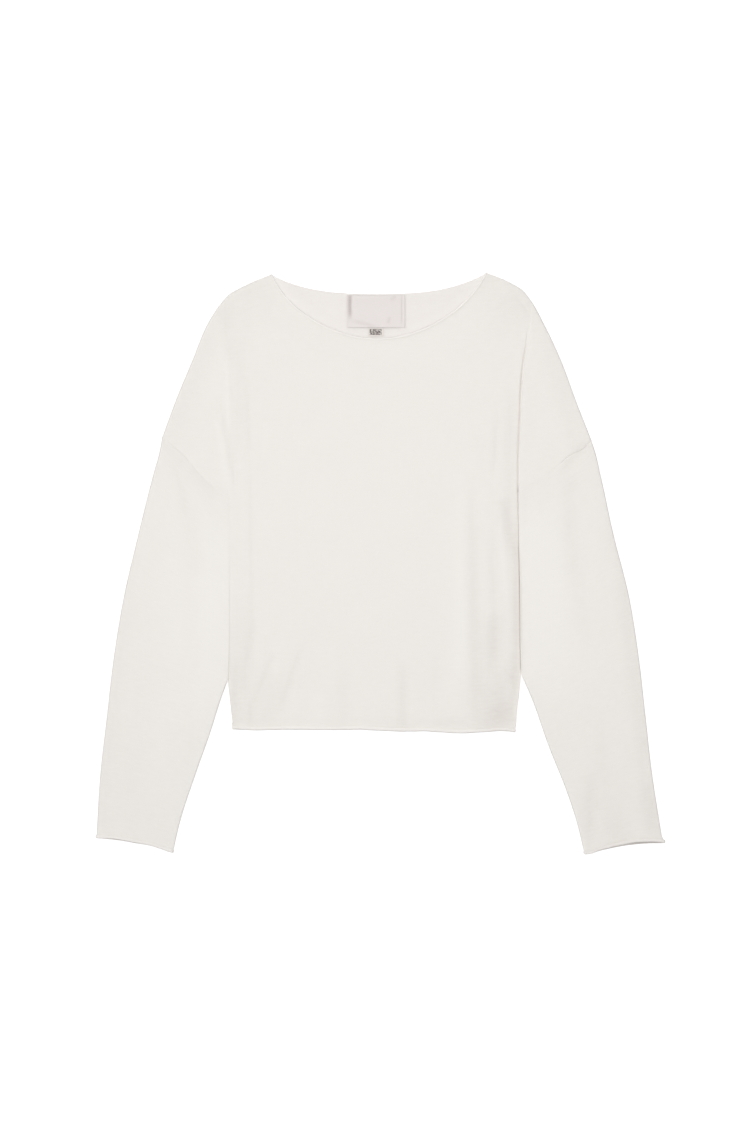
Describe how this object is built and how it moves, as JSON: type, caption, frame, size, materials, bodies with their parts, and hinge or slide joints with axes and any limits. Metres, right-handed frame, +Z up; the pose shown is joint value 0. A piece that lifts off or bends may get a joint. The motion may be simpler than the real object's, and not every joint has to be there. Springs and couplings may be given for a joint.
{
  "type": "cropped knit sweater",
  "caption": "Off-white fine-knit cropped sweater with a wide boat neck, dropped shoulders, long sleeves and raw rolled edges, laid flat on its back.",
  "frame": {"origin": "the middle of the laid garment's outline, on the surface it lies on", "axes": "+Z up out of the surface, with the front of the garment facing +Z; +Y from hem to neck; +X to the viewer's right when looking down at the front"},
  "size_m": [0.6522, 0.6629, 0.0076],
  "materials": {
    "fine_knit": "soft matte fine-gauge off-white knit with a slight fuzz",
    "label_satin": "pale satin-weave tape with a faint sheen, no print",
    "tab_tape": "small grey printed tape, left plain"
  },
  "bodies": {
    "root": {"front_panel": "fine_knit", "back_panel": "fine_knit", "sleeve_left": "fine_knit", "sleeve_right": "fine_knit", "neck_label": "label_satin", "size_tab": "tab_tape"}
  },
  "joints": []
}
